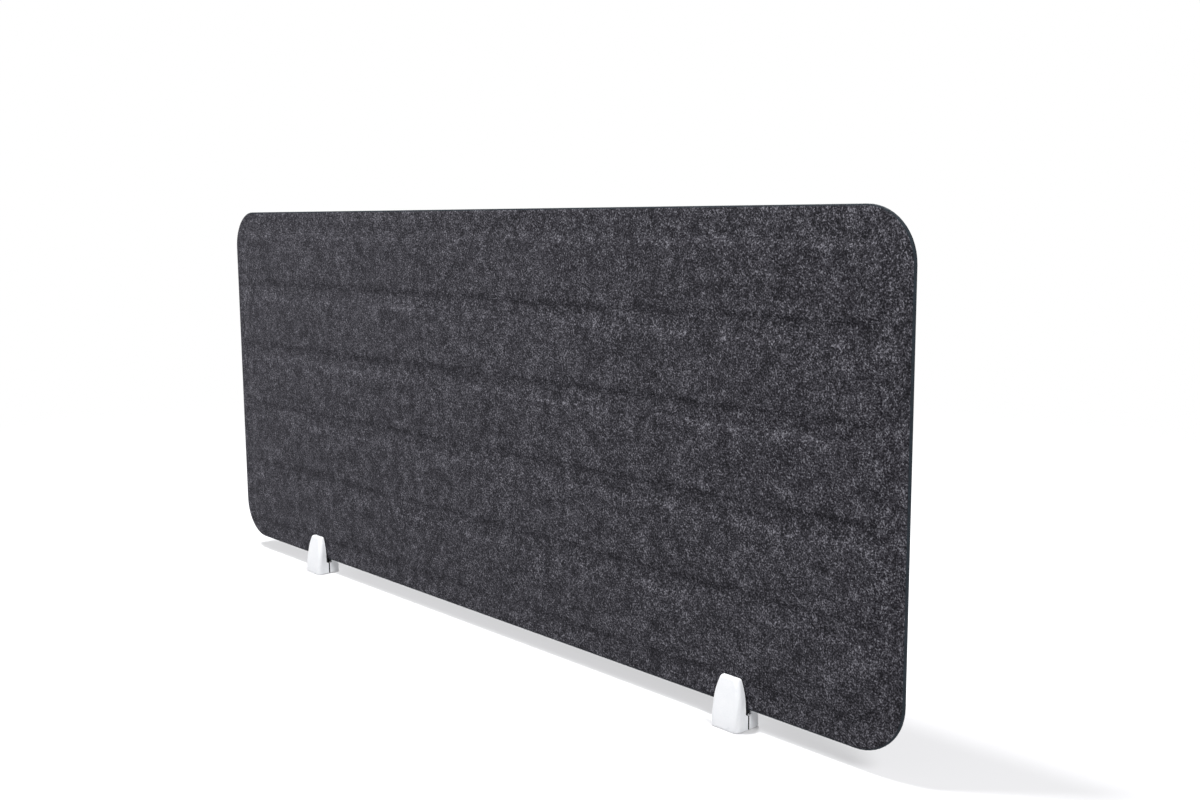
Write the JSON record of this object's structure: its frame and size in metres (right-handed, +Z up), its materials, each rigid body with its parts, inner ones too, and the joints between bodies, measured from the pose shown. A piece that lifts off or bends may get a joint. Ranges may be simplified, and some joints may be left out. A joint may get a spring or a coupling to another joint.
{
  "type": "desk divider screen",
  "caption": "Low charcoal felt screen with rounded corners and soft horizontal channels, held above a desk by white tapered clamp feet.",
  "frame": {"origin": "middle of the footprint on the desk, under the middle of the panel's length and thickness", "axes": "+X along the panel, +Z up, the user sits on the -Y side and the clamp screws' heads face +Y"},
  "size_m": [1.4, 0.04, 0.59],
  "materials": {
    "felt": "heathered charcoal pressed felt",
    "core": "plain hardboard",
    "white_coat": "gloss white powder coat",
    "black_rubber": "matt moulded rubber",
    "zinc_steel": "bright zinc plate"
  },
  "bodies": {
    "panel": {"core_board": "core", "front_felt": "felt", "rear_felt": "felt"},
    "left_foot": {"front_jaw_left": "white_coat", "front_grip_pad_left": "black_rubber", "front_base_pad_left": "black_rubber"},
    "left_clamp": {"rear_jaw_left": "white_coat", "rear_grip_pad_left": "black_rubber", "rear_base_pad_left": "black_rubber"},
    "left_outer_screw": {"clamp_screw_outer_left": "zinc_steel"},
    "left_inner_screw": {"clamp_screw_inner_left": "zinc_steel"},
    "right_foot": {"front_jaw_right": "white_coat", "front_grip_pad_right": "black_rubber", "front_base_pad_right": "black_rubber"},
    "right_clamp": {"rear_jaw_right": "white_coat", "rear_grip_pad_right": "black_rubber", "rear_base_pad_right": "black_rubber"},
    "right_outer_screw": {"clamp_screw_outer_right": "zinc_steel"},
    "right_inner_screw": {"clamp_screw_inner_right": "zinc_steel"}
  },
  "joints": [
    {"name": "left_foot_slide", "type": "slide", "parent": "panel", "child": "left_foot", "axis": [1, 0, 0], "range_m": [-0.17, 0.424]},
    {"name": "left_jaw_open", "type": "slide", "parent": "left_foot", "child": "left_clamp", "axis": [0, 1, 0], "range_m": [0, 0.006]},
    {"name": "left_outer_screw_turn", "type": "hinge", "parent": "left_clamp", "child": "left_outer_screw", "pos_m": [-0.4575, 0.014, 0.01], "axis": [0, 1, 0], "range_deg": [0, 2700]},
    {"name": "left_inner_screw_turn", "type": "hinge", "parent": "left_clamp", "child": "left_inner_screw", "pos_m": [-0.4365, 0.014, 0.01], "axis": [0, 1, 0], "range_deg": [0, 2700]},
    {"name": "right_foot_slide", "type": "slide", "parent": "panel", "child": "right_foot", "axis": [1, 0, 0], "range_m": [-0.447, 0.147]},
    {"name": "right_jaw_open", "type": "slide", "parent": "right_foot", "child": "right_clamp", "axis": [0, 1, 0], "range_m": [0, 0.006]},
    {"name": "right_outer_screw_turn", "type": "hinge", "parent": "right_clamp", "child": "right_outer_screw", "pos_m": [0.4805, 0.014, 0.01], "axis": [0, 1, 0], "range_deg": [0, 2700]},
    {"name": "right_inner_screw_turn", "type": "hinge", "parent": "right_clamp", "child": "right_inner_screw", "pos_m": [0.4595, 0.014, 0.01], "axis": [0, 1, 0], "range_deg": [0, 2700]}
  ],
  "couplings": [
    {"joint": "left_outer_screw_turn", "follows": "left_jaw_open", "rad_per_m": 7854},
    {"joint": "left_inner_screw_turn", "follows": "left_jaw_open", "rad_per_m": 7854},
    {"joint": "right_outer_screw_turn", "follows": "right_jaw_open", "rad_per_m": 7854},
    {"joint": "right_inner_screw_turn", "follows": "right_jaw_open", "rad_per_m": 7854}
  ]
}
